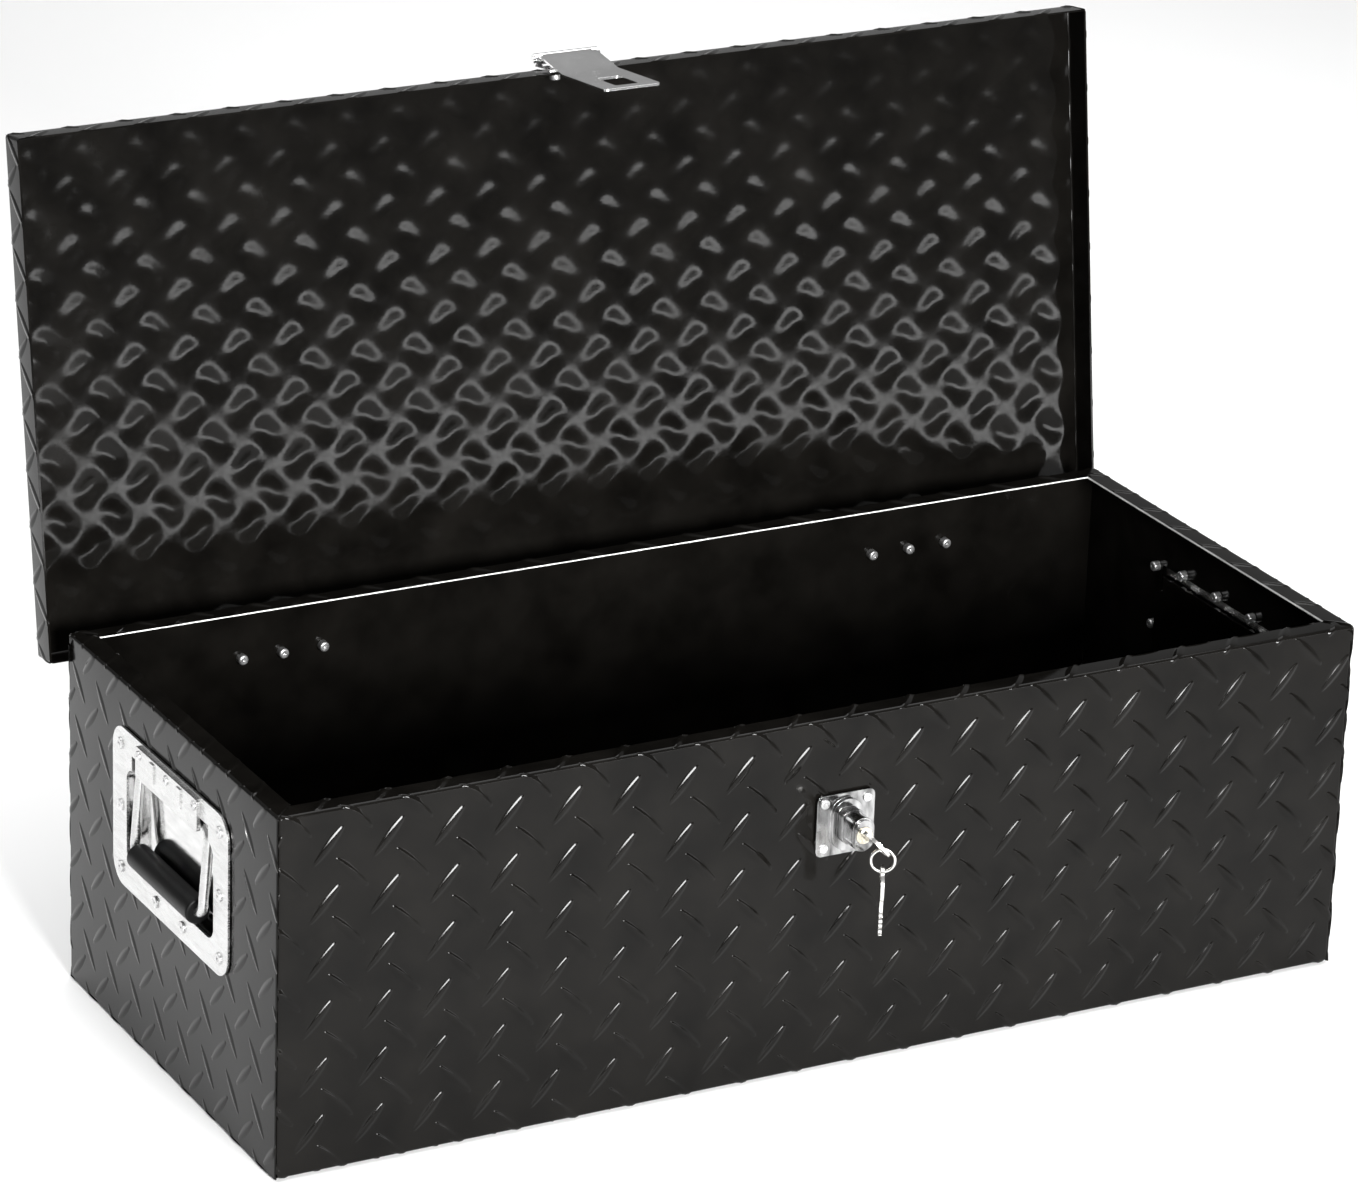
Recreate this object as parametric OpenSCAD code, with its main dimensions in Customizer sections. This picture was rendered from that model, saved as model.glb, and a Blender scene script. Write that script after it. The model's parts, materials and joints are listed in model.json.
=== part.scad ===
// Aluminium tread-plate tool box with a hinged lid, recessed end handles and a keyed hasp lock.
// Origin: centre of the box's underside. +X to the right seen from the front, +Y to the back, +Z up.
// The tread bars are part of the sheet thickness, so their tops are the outer faces given here.

/* [Box] */
// Width of the box body, left to right
body_w = 746; // [700:1:1200]
// Depth of the box body, front to back
body_d = 314; // [300:1:450]
// Height of the box body
body_h = 235; // [225:1:400]
// Thickness of the tread sheet, with its bars
sheet_t = 2; // [1.5:0.1:2.5]
// Width of the flange folded inwards round the mouth
rim_w = 15; // [8:1:20]

/* [Lid] */
// Overhang of the lid past the body at each end
lid_over_x = 8; // [7:0.5:12]
// Overhang of the lid past the body at front and back
lid_over_y = 9; // [9:0.5:10]
// Height of the lid's skirt over the panel's outer face
skirt_h = 21.5; // [20:0.5:30]
// Angle at which the lid stands open
lid_open = 98; // [0:1:98]

/* [Lid hinges] */
// Distance of each hinge's middle from the middle of the box
hinge_x = 228; // [80:1:300]
// Length of a hinge along its pin
hinge_len = 76; // [70:1:90]
// Spacing of the three rivets in each leaf
hinge_pitch = 28; // [22:1:30]
// Diameter of the hinge pins
hinge_pin_d = 3; // [2.5:0.1:3.2]

/* [End handles] */
// Height of the middle of each handle plate above the underside
handle_z = 153.5; // [120:0.5:160]
// Front-to-back place of the middle of each handle plate
handle_y = -4.8; // [-40:0.1:40]
// Width of a handle plate
plate_w = 172; // [166:1:190]
// Height of a handle plate
plate_h = 105; // [103:1:110]
// Depth of the dish behind the handle plate's face
dish_depth = 8.2; // [8:0.1:12]
// Diameter of the rod of the swinging handle
bail_d = 6.5; // [5.5:0.1:6.6]
// Distance between the two arms of the swinging handle
bail_w = 102; // [100:1:104]
// Length of the rubber grip
grip_len = 90; // [60:1:92]
// Diameter of the rubber grip
grip_d = 16.5; // [12:0.1:17]

/* [Hasp and lock] */
// Sideways place of the hasp and the lock
lock_x = 4.9; // [-40:0.1:40]
// Height of the middle of the lock plate above the underside
lock_z = 165; // [164:0.1:167]
// Side of the square lock plate
lock_side = 40; // [38:1:44]
// Width of the hasp's swinging leaf
leaf_w = 40; // [36:1:44]
// Diameter of the split ring that holds the spare key, to the middle of its wire
ring_d = 14.6; // [13:0.1:17]

/* [Hidden] */
$fn = 48;
eps = 0.01;
fit = 0.05;            // radial clearance of a running fit
through = 10;          // reach of a cut past the sheet it goes through
leaf_through = 4;      // reach of a cut through a hinge or hasp leaf

// blind rivets
rivet_r = 2;
rivet_head_r = 3.8;
rivet_head_h = 1.3;
rivet_tail_r = 3.3;
rivet_tail_h = 5;
rivet_hole_r = rivet_r + fit;
mandrel_r = 0.9;
mandrel_dip = 0.6;
rivet_tail_edge = 1.2;
rivet_round_fn = 24;

// box
half_w = body_w / 2;
half_d = body_d / 2;
inner_y = half_d - sheet_t;

// lid, in its closed place
lid_gap = 0.3;
lid_half_w = half_w + lid_over_x;
lid_half_d = half_d + lid_over_y;
lid_top = body_h + lid_gap + sheet_t;
lid_rim = lid_top - skirt_h;

// lid hinges
knuckle_r = 3.2;
hinge_leaf_t = 1.2;
hinge_in = 2.5;         // the pin's axis lies this far inside the lid's back face
hinge_drop = 3.3;       // and this far under its rim
hinge_y = lid_half_d - hinge_in;
hinge_z = lid_rim - hinge_drop;
hinge_rivet_drop = 36.5;
hinge_rivet_z = body_h - hinge_rivet_drop;
hinge_leaf_below = 12;
hinge_leaf_low = hinge_rivet_z - hinge_leaf_below;
joggle_drop = 9.5;
joggle_z = hinge_z - joggle_drop;
joggle_h = 3.9;         // height over which the body leaf steps out under the lid's edge
joggle_lap = 0.5;
leaf_in = 1.9;          // the body leaf's outer face lies this far inside the pin's axis
leaf_lap = 0.3;
lid_leaf_h = 16.6;
hinge_clear = 3.9;
pin_end = 0.2;
pin_head_r = 2.2;
pin_head_t = 1;
knuckles = 5;
knuckle_gap = 0.3;
lid_rivet_rise = 10;
lid_rivet_z = lid_rim + lid_rivet_rise;
notch_h = 1.5;
notch_room = 2;

// end handles
plate_t = 1.5;
plate_corner = 16;
dish_t = 1.2;
dish_w = 130;
dish_corner = 9;
dish_low = handle_z - 34;
dish_high = handle_z + 38.5;
dish_step_z = handle_z + 28.5;
dish_neck_w = 114;
dish_neck_low = dish_low + 40;
dish_in = dish_depth - plate_t;
pivot_in = 2.5;
pivot_z = handle_z + 33.5;
bail_r = bail_d / 2;
bail_bend = 7;
bail_drop = 56;
grip_gap = 0.75;
grip_edge = 1.5;
grip_lean = atan((grip_d / 2 + grip_gap - (dish_in - pivot_in)) / bail_drop);
bracket_t = 2.5;
bracket_w = 92;
bracket_low = handle_z + 30;
bracket_high = handle_z + 50.5;
strap_y = 20;
strap_w = 6;
strap_proud = 0.9;
strap_sink = 0.5;
strap_low_gap = 6;
strap_high_gap = 2;
bracket_corner = 2;
eye_r = 4.1;
handle_rivet_y = 73.5;
handle_rivet_z = 41;
low_rivet_z = 43;
bracket_rivet_y = 41;
bracket_rivet_z = 45.5;

// hasp, in its closed place
hasp_t = 1.5;
hasp_barrel_r = 4;
hasp_pin_r = 1.6;
hasp_w = 45.5;
hasp_end_knuckle = 5.2;
hasp_out = 5.2;
hasp_rise = 1.2;
hasp_y = -lid_half_d - hasp_out;
hasp_z = lid_top + hasp_rise;
hasp_bend_y = 4.9;
hasp_bend_z = -34.5;
hasp_tip_y = 6.9;
hasp_tip_z = -92.8;
hasp_clear = 4.3;
hasp_sink = 0.1;
hasp_bend_lap = 0.15;
hasp_corner = 3;
hasp_pin_end = 0.2;
hasp_pin_head_r = 2.4;
hasp_pin_head_t = 0.8;
slot_corner = 2;
slot_w = 16.2;
slot_h = 27;
slot_z = lock_z + 2;      // middle of the slot, a little over the lock
hasp_rivet_x = 14;
hasp_rivet_rise = 10.5;
hasp_rivet_z = lid_rim + hasp_rivet_rise;

// lock
axis_rise = 1;          // the lock turns about an axis this far over its plate's middle
axis_z = lock_z + axis_rise;
lock_face = -half_d;
lock_t = 1.8;
lock_corner = 4;
lock_rivet_at = 14.7;
lock_rivet_head_r = 3;
lock_rivet_head_h = 1;
collar_w = 21;
collar_h = 34;
collar_proud = 3;
collar_out = lock_t + collar_proud;
boss_w = 15;
boss_h = 22;
boss_corner = 5;
boss_out = 11.6;
head_in = 11.8;
head_out = 25;
head_edge = 1.2;
spindle_r = 6.5;
spindle_in = 7;
spindle_room = 0.5;
plug_r = 5.5;
plug_len = 12;
plug_proud = 0.4;
plug_gap = 0.1;
key_bore_r = 4.6;
key_bore_in = 2;
keyway_w = 8.4;
keyway_t = 2.6;
retainer_r = 11;
retainer_t = 2;
retainer_gap = 0.2;

// keys
key_turn = -42;        // angle of the key's blade from upright
key_t = 2.2;
blade_w = 7.6;
blade_len = 20;
blade_root = 4;
shoulder_at = 0.6;
shoulder_len = 6;
shoulder_out = 1.6;
bow_r = 11.5;
bow_out = 13;
key_hole_r = 3.8;
key_hole_out = 17;
key_hole_side = 5;
ring_wire_r = 0.9;
ring_yaw = -28;        // the ring hangs square to this direction
spare_hole_out = 18.2;
ring_slack = 0.3;
ring_rise = 1;         // the ring's top wire lies this far over the middle of the key's hole
key_gap = 0.2;
cuts = 5;
cut_first = 1.2;
cut_side = 1.1;
cut_pitch = 3.4;
tip_cut = 3;

// ---------- shared shapes ----------

// flat outline with four true round corners, centred
module round_rect(w, h, r) {
    square([w - 2 * r, h], center = true);
    square([w, h - 2 * r], center = true);
    for (sx = [-1, 1], sz = [-1, 1])
        translate([sx * (w / 2 - r), sz * (h / 2 - r)]) circle(r);
}

// upright oval with straight sides, centred
module stadium(w, h) {
    square([w, h - w], center = true);
    for (s = [-1, 1]) translate([0, s * (h - w) / 2]) circle(w / 2);
}

// extrudes a front-view outline from y = -out to y = -in
module from_front(out, in) {
    translate([0, -in, 0]) rotate([90, 0, 0]) linear_extrude(out - in) children();
}

// extrudes a side-view outline, given as (y, z), from x0 to x1
module across(x0, x1) {
    translate([x0, 0, 0]) rotate([90, 0, 90]) linear_extrude(x1 - x0) children();
}

// rod along x from x0 to x1
module rod_x(r, x0, x1) {
    translate([x0, 0, 0]) rotate([0, 90, 0]) cylinder(r = r, h = x1 - x0);
}

// rod along y, centred
module rod_y(r, len) {
    rotate([90, 0, 0]) cylinder(r = r, h = len, center = true);
}

// blind rivet: head on z = 0 facing up, tail below the sheets it grips
module rivet(grip, head_r = rivet_head_r, head_h = rivet_head_h) {
    tail = grip + rivet_tail_h;
    edge = rivet_tail_edge;
    rotate_extrude() difference() {
        union() {
            translate([0, -grip - eps]) square([rivet_r, grip + 2 * eps]);
            square([head_r - head_h / 2, head_h]);
            square([head_r, head_h / 2]);
            translate([head_r - head_h / 2, head_h / 2]) circle(head_h / 2, $fn = rivet_round_fn);
            translate([0, edge - tail]) square([rivet_tail_r, rivet_tail_h - edge]);
            translate([0, -tail]) square([rivet_tail_r - edge, edge]);
            translate([rivet_tail_r - edge, edge - tail]) circle(edge, $fn = rivet_round_fn);
        }
        translate([-2 * head_r, -2 * tail]) square([2 * head_r, 4 * tail]);
        translate([0, head_h - mandrel_dip]) square([mandrel_r, 2 * mandrel_dip]);
        translate([0, -tail - rivet_r]) square([mandrel_r, 2 * rivet_r]);
    }
}

// hole for a rivet, along its own z
module rivet_hole(depth) {
    translate([0, 0, -depth]) cylinder(r = rivet_hole_r, h = 2 * depth);
}

// ---------- placing ----------

// carries a closed lid part to where the open lid holds it
module on_lid() {
    translate([0, hinge_y, hinge_z]) rotate([-lid_open, 0, 0])
        translate([0, -hinge_y, -hinge_z]) children();
}

// origin on the left end's outer face, at the handle's front-to-back place
module at_left_end() {
    translate([-half_w, handle_y, 0]) children();
}

module at_right_end() {
    mirror([1, 0, 0]) at_left_end() children();
}

// turns a rivet's own z to point out of the left end
module out_left() {
    rotate([0, -90, 0]) children();
}

// turns a rivet's own z to point out of the back
module out_back() {
    rotate([-90, 0, 0]) children();
}

// turns a rivet's own z to point out of the front
module out_front() {
    rotate([90, 0, 0]) children();
}

module each_body_hinge_rivet() {
    for (side = [-1, 1], k = [-1, 0, 1])
        translate([side * hinge_x + k * hinge_pitch, half_d, hinge_rivet_z]) out_back() children();
}

module each_lid_hinge_rivet() {
    for (side = [-1, 1], k = [-1, 0, 1])
        translate([side * hinge_x + k * hinge_pitch, lid_half_d, lid_rivet_z]) out_back() children();
}

module each_plate_rivet() {
    for (sy = [-1, 1], sz = [-1, 0, 1])
        translate([0, sy * handle_rivet_y, handle_z + sz * handle_rivet_z]) out_left() children();
    for (sy = [-1, 1])
        translate([0, sy * strap_y, handle_z - low_rivet_z]) out_left() children();
}

module each_bracket_rivet() {
    for (k = [-1, 0, 1])
        translate([0, k * bracket_rivet_y, handle_z + bracket_rivet_z]) out_left() children();
}

module each_lock_rivet() {
    for (sx = [-1, 1], sz = [-1, 1])
        translate([lock_x + sx * lock_rivet_at, lock_face, lock_z + sz * lock_rivet_at])
            out_front() children();
}

module each_hasp_rivet() {
    for (sx = [-1, 1])
        translate([lock_x + sx * hasp_rivet_x, -lid_half_d, hasp_rivet_z]) out_front() children();
}

// ---------- box ----------

// flange folded inwards along one side of the mouth, with mitred ends, for a side of length len
module rim_flange(len) {
    translate([0, 0, body_h - sheet_t]) linear_extrude(sheet_t)
        polygon([
            [-len / 2, 0],
            [len / 2, 0],
            [len / 2 - rim_w, rim_w],
            [-len / 2 + rim_w, rim_w]
        ]);
}

module body_wrap() color([0.16, 0.16, 0.16]) difference() {
    union() {
        translate([-half_w, -half_d, 0]) cube([body_w, body_d, sheet_t]);
        for (side = [0, 1]) mirror([0, side, 0]) {
            translate([-half_w, -half_d, 0]) cube([body_w, sheet_t, body_h - sheet_t]);
            translate([0, -half_d, 0]) rim_flange(body_w);
        }
    }
    each_body_hinge_rivet() rivet_hole(through);
    each_lock_rivet() rivet_hole(through);
    translate([lock_x, -half_d, axis_z])
        from_front(through, -through) circle(spindle_r + spindle_room);
}

module end_panel() difference() {
    union() {
        translate([-half_w, -inner_y, sheet_t])
            cube([sheet_t, 2 * inner_y, body_h - 2 * sheet_t]);
        translate([-half_w, 0, 0]) rotate([0, 0, -90]) rim_flange(body_d);
    }
    at_left_end() {
        dish_block(-through, dish_depth + through, dish_t + fit);
        each_plate_rivet() rivet_hole(through);
        each_bracket_rivet() rivet_hole(through);
    }
}

module end_panel_left() color([0.2, 0.2, 0.2]) end_panel();
module end_panel_right() color([0.2, 0.2, 0.2]) mirror([1, 0, 0]) end_panel();

// ---------- lid ----------

module lid_shell() color([0.14, 0.14, 0.14]) on_lid() difference() {
    translate([-lid_half_w, -lid_half_d, lid_rim])
        cube([2 * lid_half_w, 2 * lid_half_d, skirt_h]);
    translate([sheet_t - lid_half_w, sheet_t - lid_half_d, lid_rim - skirt_h])
        cube([2 * (lid_half_w - sheet_t), 2 * (lid_half_d - sheet_t), 2 * skirt_h - sheet_t]);
    for (side = [-1, 1])
        translate([side * hinge_x - hinge_len / 2 - notch_room, 0, lid_rim - notch_h])
            cube([hinge_len + 2 * notch_room, lid_half_d + sheet_t, 2 * notch_h]);
    each_lid_hinge_rivet() rivet_hole(through);
    each_hasp_rivet() rivet_hole(through);
}

// ---------- lid hinges ----------

// x range of knuckle k, from the hinge's middle
function knuckle_x0(k) = -hinge_len / 2 + k * hinge_len / knuckles + knuckle_gap / 2;
function knuckle_x1(k) = knuckle_x0(k) + hinge_len / knuckles - knuckle_gap;

module knuckle_bores(x) {
    translate([x, hinge_y, hinge_z])
        rod_x(hinge_pin_d / 2 + fit, -hinge_len, hinge_len);
}

module hinge_body_leaf(x) color([0.75, 0.75, 0.74]) difference() {
    leaf_face = hinge_y - leaf_in;
    leaf_top = hinge_z - hinge_clear + leaf_lap;
    union() {
        across(x - hinge_len / 2, x + hinge_len / 2) polygon([
            [half_d, hinge_leaf_low],
            [half_d + hinge_leaf_t, hinge_leaf_low],
            [half_d + hinge_leaf_t, joggle_z],
            [leaf_face, joggle_z + joggle_h],
            [leaf_face, leaf_top],
            [leaf_face - hinge_leaf_t, leaf_top],
            [leaf_face - hinge_leaf_t, joggle_z + joggle_h + joggle_lap],
            [half_d, joggle_z + joggle_lap]
        ]);
        for (k = [0, 2, 4]) {
            translate([x, hinge_y, hinge_z]) rod_x(knuckle_r, knuckle_x0(k), knuckle_x1(k));
            across(x + knuckle_x0(k), x + knuckle_x1(k))
                translate([leaf_face - hinge_leaf_t, hinge_z - hinge_clear])
                    square([hinge_leaf_t, hinge_clear]);
        }
    }
    knuckle_bores(x);
    each_body_hinge_rivet() rivet_hole(leaf_through);
}

module hinge_lid_leaf(x) color([0.75, 0.75, 0.74]) on_lid() difference() {
    union() {
        across(x - hinge_len / 2, x + hinge_len / 2)
            translate([lid_half_d, hinge_z + hinge_clear]) square([hinge_leaf_t, lid_leaf_h]);
        for (k = [1, 3]) {
            translate([x, hinge_y, hinge_z]) rod_x(knuckle_r, knuckle_x0(k), knuckle_x1(k));
            across(x + knuckle_x0(k), x + knuckle_x1(k))
                translate([lid_half_d, hinge_z]) square([hinge_leaf_t, hinge_clear + 1]);
        }
    }
    knuckle_bores(x);
    each_lid_hinge_rivet() rivet_hole(leaf_through);
}

module hinge_pin(x) color([0.7, 0.7, 0.7]) translate([x, hinge_y, hinge_z]) {
    rod_x(hinge_pin_d / 2, -hinge_len / 2 - pin_end, hinge_len / 2 + pin_end);
    for (s = [-1, 1])
        translate([s * (hinge_len / 2 + pin_end + pin_head_t / 2), 0, 0])
            rod_x(pin_head_r, -pin_head_t / 2, pin_head_t / 2);
}

module hinge_left_body_leaf() hinge_body_leaf(-hinge_x);
module hinge_left_lid_leaf() hinge_lid_leaf(-hinge_x);
module hinge_left_pin() hinge_pin(-hinge_x);
module hinge_right_body_leaf() hinge_body_leaf(hinge_x);
module hinge_right_lid_leaf() hinge_lid_leaf(hinge_x);
module hinge_right_pin() hinge_pin(hinge_x);

module hinge_body_rivets() color([0.8, 0.8, 0.8]) each_body_hinge_rivet()
    translate([0, 0, hinge_leaf_t]) rivet(hinge_leaf_t + sheet_t);

module hinge_lid_rivets() color([0.8, 0.8, 0.8]) on_lid() each_lid_hinge_rivet()
    translate([0, 0, hinge_leaf_t]) rivet(hinge_leaf_t + sheet_t);

// ---------- end handles, drawn at the left end ----------

// solid of the dish outline from x = x0 to x = x1, x measured inwards from the end face
module dish_block(x0, x1, grow = 0) {
    across(x0, x1) {
        translate([0, (dish_low + dish_step_z) / 2])
            round_rect(dish_w + 2 * grow, dish_step_z - dish_low + 2 * grow, dish_corner + grow);
        translate([0, (dish_neck_low + dish_high) / 2])
            square([dish_neck_w + 2 * grow, dish_high - dish_neck_low + 2 * grow], center = true);
    }
}

module handle_plate() color([0.83, 0.83, 0.82]) at_left_end() difference() {
    union() {
        across(-plate_t, 0) translate([0, handle_z]) round_rect(plate_w, plate_h, plate_corner);
        dish_block(-eps, dish_in + dish_t, dish_t);
    }
    dish_block(-2 * plate_t, dish_in);
    each_plate_rivet() rivet_hole(through);
    each_bracket_rivet() rivet_hole(through);
}

// strip over the top of the dish, with two straps that carry the handle's top rod
module handle_bracket() color([0.8, 0.8, 0.79]) at_left_end() difference() {
    strap_face = plate_t + bracket_t + strap_proud;
    union() {
        across(-plate_t - bracket_t, -plate_t)
            translate([0, (bracket_low + bracket_high) / 2])
                round_rect(bracket_w, bracket_high - bracket_low, bracket_corner);
        for (s = [-1, 1]) translate([0, s * strap_y, 0]) {
            translate([-strap_face, -strap_w / 2, bracket_low + strap_low_gap])
                cube([
                    strap_proud + strap_sink,
                    strap_w,
                    bracket_high - bracket_low - strap_low_gap - strap_high_gap
                ]);
            translate([-plate_t - bracket_t / 2, -strap_w / 2, pivot_z - eye_r])
                cube([plate_t + bracket_t / 2 + pivot_in, strap_w, 2 * eye_r]);
            translate([pivot_in, 0, pivot_z]) rod_y(eye_r, strap_w);
        }
    }
    translate([pivot_in, 0, pivot_z]) rod_y(bail_r + 2 * fit, 2 * bail_w);
    each_bracket_rivet() rivet_hole(through);
}

// handle parts are drawn hanging straight down, then leaned out to where the grip rests
module at_pivot() {
    at_left_end() translate([pivot_in, 0, pivot_z])
        rotate([0, grip_lean, 0]) children();
}

module handle_bail() color([0.85, 0.85, 0.85]) at_pivot() {
    straight_y = bail_w - 2 * bail_bend;
    straight_z = bail_drop - 2 * bail_bend;
    rod_y(bail_r, straight_y);
    translate([0, 0, -bail_drop]) rod_y(bail_r, straight_y);
    for (s = [-1, 1]) {
        translate([0, s * bail_w / 2, -bail_drop / 2])
            cylinder(r = bail_r, h = straight_z, center = true);
        translate([0, s * straight_y / 2, -bail_bend]) rotate([90, 0, 90])
            mirror([s < 0 ? 1 : 0, 0, 0]) rotate_extrude(angle = 90)
                translate([bail_bend, 0]) circle(bail_r);
        translate([0, s * straight_y / 2, bail_bend - bail_drop]) rotate([90, 0, 90])
            mirror([s < 0 ? 1 : 0, 0, 0]) rotate([0, 0, -90]) rotate_extrude(angle = 90)
                translate([bail_bend, 0]) circle(bail_r);
    }
}

module handle_grip() color([0.08, 0.08, 0.08]) at_pivot()
    translate([0, 0, -bail_drop]) rotate([90, 0, 0]) rotate_extrude() {
        translate([bail_r, grip_edge - grip_len / 2])
            square([grip_d / 2 - bail_r, grip_len - 2 * grip_edge]);
        translate([bail_r, -grip_len / 2])
            square([grip_d / 2 - bail_r - grip_edge, grip_len]);
        for (s = [-1, 1])
            translate([grip_d / 2 - grip_edge, s * (grip_len / 2 - grip_edge)]) circle(grip_edge);
    }

module handle_rivets() color([0.85, 0.85, 0.85]) at_left_end() {
    each_plate_rivet() translate([0, 0, plate_t]) rivet(plate_t + sheet_t);
    each_bracket_rivet() translate([0, 0, plate_t + bracket_t])
        rivet(plate_t + bracket_t + sheet_t, lock_rivet_head_r, lock_rivet_head_h);
}

module handle_left_plate() handle_plate();
module handle_left_bracket() handle_bracket();
module handle_left_bail() handle_bail();
module handle_left_grip() handle_grip();
module handle_left_rivets() handle_rivets();
module handle_right_plate() mirror([1, 0, 0]) handle_plate();
module handle_right_bracket() mirror([1, 0, 0]) handle_bracket();
module handle_right_bail() mirror([1, 0, 0]) handle_bail();
module handle_right_grip() mirror([1, 0, 0]) handle_grip();
module handle_right_rivets() mirror([1, 0, 0]) handle_rivets();

// ---------- hasp, drawn on the closed lid ----------

module at_hasp() {
    on_lid() translate([lock_x, hasp_y, hasp_z]) children();
}

module hasp_fixed_leaf() color([0.8, 0.8, 0.8]) difference() {
    at_hasp() difference() {
        union() {
            across(-hasp_w / 2, hasp_w / 2)
                translate([-lid_half_d - hasp_y - hasp_t, lid_rim - hasp_z])
                    square([hasp_t, hasp_z - lid_rim - hasp_clear]);
            for (s = [-1, 1]) {
                x0 = s * hasp_w / 2 - (s > 0 ? hasp_end_knuckle : 0);
                across(x0, x0 + hasp_end_knuckle)
                    translate([-lid_half_d - hasp_y - hasp_t, -hasp_clear - 1])
                        square([hasp_t, hasp_clear + 1]);
                rod_x(hasp_barrel_r, x0, x0 + hasp_end_knuckle);
            }
        }
        rod_x(hasp_pin_r + fit, -hasp_w, hasp_w);
    }
    on_lid() each_hasp_rivet() rivet_hole(leaf_through);
}

// swinging leaf: barrel, a run that slopes in past the skirt, then a flat run with the slot
module hasp_swing_leaf() color([0.85, 0.85, 0.85]) at_hasp() {
    mid = hasp_w / 2 - hasp_end_knuckle - knuckle_gap;
    difference() {
        union() {
            rod_x(hasp_barrel_r, -mid, mid);
            intersection() {
                across(-leaf_w / 2, leaf_w / 2) polygon([
                    [hasp_sink - hasp_barrel_r, 0],
                    [hasp_bend_y, hasp_bend_z],
                    [hasp_tip_y, hasp_tip_z],
                    [hasp_tip_y + hasp_t, hasp_tip_z],
                    [hasp_bend_y + hasp_t, hasp_bend_z - hasp_bend_lap],
                    [hasp_sink - hasp_barrel_r + hasp_t, 0]
                ]);
                from_front(through, -through) translate([0, hasp_tip_z / 2])
                    round_rect(leaf_w, -hasp_tip_z, hasp_corner);
            }
        }
        rod_x(hasp_pin_r + fit, -hasp_w, hasp_w);
        for (s = [-1, 1])
            translate([s > 0 ? mid : -mid - leaf_w, -through, -hasp_clear])
                cube([leaf_w, 2 * through, through]);
        from_front(through, -through) translate([0, slot_z - hasp_z])
            round_rect(slot_w, slot_h, slot_corner);
    }
}

module hasp_pin() color([0.75, 0.75, 0.75]) at_hasp() {
    rod_x(hasp_pin_r, -hasp_w / 2 - hasp_pin_end, hasp_w / 2 + hasp_pin_end);
    for (s = [-1, 1])
        translate([s * (hasp_w + hasp_pin_head_t) / 2 + s * hasp_pin_end, 0, 0])
            rod_x(hasp_pin_head_r, -hasp_pin_head_t / 2, hasp_pin_head_t / 2);
}

module hasp_rivets() color([0.8, 0.8, 0.8]) on_lid() each_hasp_rivet()
    translate([0, 0, hasp_t]) rivet(hasp_t + sheet_t, lock_rivet_head_r, lock_rivet_head_h);

// ---------- lock ----------

// places a front-view shape on the lock's turning axis, with depths measured out of the front
module on_axis() {
    translate([lock_x, -half_d, axis_z]) children();
}

module lock_base() color([0.85, 0.85, 0.84]) difference() {
    union() {
        translate([lock_x, lock_face, lock_z]) {
            from_front(lock_t, 0) round_rect(lock_side, lock_side, lock_corner);
            from_front(collar_out, 0) stadium(collar_w, collar_h);
        }
        on_axis() from_front(boss_out, 0) round_rect(boss_w, boss_h, boss_corner);
    }
    on_axis() from_front(2 * boss_out, -through) circle(spindle_r + fit);
    each_lock_rivet() rivet_hole(leaf_through);
}

module lock_head() color([0.88, 0.88, 0.87]) on_axis() difference() {
    union() {
        from_front(head_out - head_edge, head_in) stadium(boss_w, boss_h);
        from_front(head_out, head_in) stadium(boss_w - 2 * head_edge, boss_h - 2 * head_edge);
        from_front(head_in + eps, -spindle_in) circle(spindle_r);
    }
    from_front(2 * head_out, head_out - plug_len) circle(plug_r + fit);
    from_front(head_out, key_bore_in) circle(key_bore_r);
}

module lock_retainer() color([0.6, 0.6, 0.6]) on_axis() difference() {
    translate([0, sheet_t + retainer_gap, 0]) from_front(0, -retainer_t) circle(retainer_r);
    from_front(0, -2 * spindle_in) circle(spindle_r);
}

// turns a shape drawn with the blade upright to the key's place
module turned() {
    rotate([0, key_turn, 0]) children();
}

module lock_plug() color([0.8, 0.78, 0.7]) on_axis() turned() difference() {
    from_front(head_out + plug_proud, head_out - plug_len + plug_gap) circle(plug_r);
    from_front(2 * head_out, 0) square([keyway_t, keyway_w], center = true);
}

module lock_rivets() color([0.85, 0.85, 0.85]) each_lock_rivet()
    translate([0, 0, lock_t]) rivet(lock_t + sheet_t, lock_rivet_head_r, lock_rivet_head_h);

// ---------- keys ----------

// flat key drawn in (along, side): the blade points to -along, the bow's shoulder is at 0
module key_outline(hole_along, hole_side) difference() {
    union() {
        translate([-blade_len, -blade_w / 2]) square([blade_len + blade_root, blade_w]);
        translate([bow_out, 0]) circle(bow_r);
        translate([shoulder_at, -blade_w / 2 - shoulder_out])
            square([shoulder_len, blade_w + 2 * shoulder_out]);
    }
    translate([hole_along, hole_side]) circle(key_hole_r);
    for (k = [0 : cuts - 1])
        translate([-blade_len + cut_first + k * cut_pitch, blade_w / 2]) rotate([0, 0, 45])
            square(cut_side * (1 + k % 2 / 2), center = true);
    translate([-blade_len, -blade_w / 2]) rotate([0, 0, 45]) square(tip_cut, center = true);
}

// upright key in the lock: along is out of the front, side is down
module key() color([0.85, 0.85, 0.84]) on_axis() turned()
    translate([-key_t / 2, -head_out - plug_proud - key_gap, 0]) rotate([0, 90, 0]) rotate([0, 0, -90])
        linear_extrude(key_t) key_outline(key_hole_out, key_hole_side);

// middle of the hole in the key's bow, from the turning axis at the front face
function hole_at() = [
    -key_hole_side * sin(key_turn),
    -(head_out + plug_proud + key_gap + key_hole_out),
    -key_hole_side * cos(key_turn)
];

// places a shape at the top of the ring, turned square to the ring
module at_ring() {
    on_axis() translate(hole_at()) translate([0, 0, ring_rise]) rotate([0, 0, ring_yaw])
        children();
}

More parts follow.
